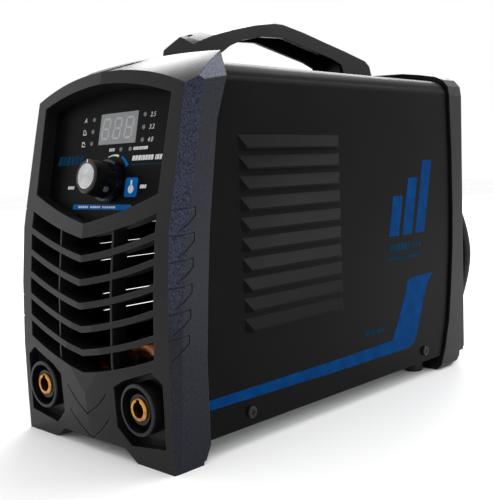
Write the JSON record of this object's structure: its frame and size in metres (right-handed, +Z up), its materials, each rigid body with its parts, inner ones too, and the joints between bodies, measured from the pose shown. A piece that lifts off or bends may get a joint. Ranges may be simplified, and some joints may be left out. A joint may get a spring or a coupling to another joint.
{
  "type": "stick welding inverter",
  "caption": "Portable stick welding inverter: black louvred sheet-metal case, moulded bezels, chevron air grille, leaning control panel, two output sockets and a carrying handle.",
  "frame": {"origin": "on the floor, under the middle of the case between the front keel and the rear rim", "axes": "+Z up, front panel faces -Y, X = 0 is the case's plane of symmetry"},
  "size_m": [0.199, 0.4199, 0.2763],
  "materials": {
    "case_plastic": "textured moulded nylon, charcoal",
    "handle_plastic": "fine textured moulded nylon",
    "cover_paint": "satin black powder coat",
    "tray_steel": "zinc plated sheet",
    "panel_film": "printed black polyester film",
    "display_lens": "smoked grey acrylic",
    "display_black": "moulded display case",
    "lamp_lens": "diffused epoxy lens",
    "black_plastic": "moulded nylon",
    "knob_plastic": "moulded ABS",
    "turned_aluminium": "spun face",
    "plated_steel": "zinc plated",
    "black_steel": "black oxide",
    "brass": "machined",
    "copper": "tinned copper bar",
    "board": "solder mask",
    "ferrite": "sintered ferrite",
    "winding": "taped winding",
    "sleeve": "printed can sleeve",
    "epoxy": "moulded epoxy",
    "rubber": "moulded rubber",
    "cord_jacket": "rubber sheathed mains cord",
    "wire_guard": "plated wire"
  },
  "bodies": {
    "root": {"front_bezel": "case_plastic", "control_panel_plate": "panel_film", "display_window": "display_lens", "display_module": "display_black", "indicator_lamps": "lamp_lens", "control_board": "board", "board_spacers": "black_plastic", "board_screws": "plated_steel", "encoder_body": "plated_steel", "encoder_nut": "plated_steel", "socket_insulator_left": "black_plastic", "socket_insulator_right": "black_plastic", "socket_contact_left": "brass", "socket_contact_right": "brass", "socket_nuts": "plated_steel", "output_busbars": "copper", "base_tray": "tray_steel", "cover": "cover_paint", "cover_screws": "black_steel", "bezel_screws": "black_steel", "rubber_feet": "rubber", "handle": "handle_plastic", "handle_screws": "plated_steel", "rear_bezel": "case_plastic", "earth_bolt": "brass", "fan_frame": "black_plastic", "fan_guard": "wire_guard", "fan_screws": "black_steel", "power_switch_body": "black_plastic", "cable_gland": "black_plastic", "gland_locknut": "black_plastic", "strain_relief": "rubber", "mains_cord_lead": "cord_jacket", "mains_cord_coil": "cord_jacket", "mains_cord_tail": "cord_jacket", "cord_tie": "black_plastic", "plug_body": "rubber", "plug_pins": "brass", "power_board": "board", "board_standoffs": "brass", "heatsinks": "turned_aluminium", "power_transistors": "epoxy", "output_diodes": "epoxy", "driver_board": "board", "transformer_core": "ferrite", "transformer_winding": "winding", "choke_core": "ferrite", "choke_winding": "copper", "bulk_capacitors": "sleeve", "relay": "sleeve", "bridge_rectifier": "epoxy", "interference_choke": "winding"},
    "plunger": {"encoder_plunger": "black_plastic"},
    "knob": {"encoder_shaft": "plated_steel", "knob": "knob_plastic", "knob_cap": "turned_aluminium", "knob_set_screw": "plated_steel"},
    "rocker": {"power_switch_rocker": "knob_plastic"},
    "fan": {"fan_rotor": "black_plastic"}
  },
  "joints": [
    {"name": "knob_push", "type": "slide", "parent": "root", "child": "plunger", "axis": [0, 0.977, -0.213], "range_m": [0, 0.0006], "stiffness_N_per_m": 2000},
    {"name": "knob_turn", "type": "hinge", "parent": "plunger", "child": "knob", "pos_m": [0.0045, -0.14935, 0.16815], "axis": [0, 0.977, -0.213], "continuous": true},
    {"name": "fan_spin", "type": "hinge", "parent": "root", "child": "fan", "pos_m": [0, 0.1452, 0.124], "axis": [0, 1, 0], "continuous": true},
    {"name": "switch_rock", "type": "hinge", "parent": "root", "child": "rocker", "pos_m": [0.038, 0.1582, 0.207], "axis": [1, 0, 0], "range_deg": [0, 20]}
  ]
}
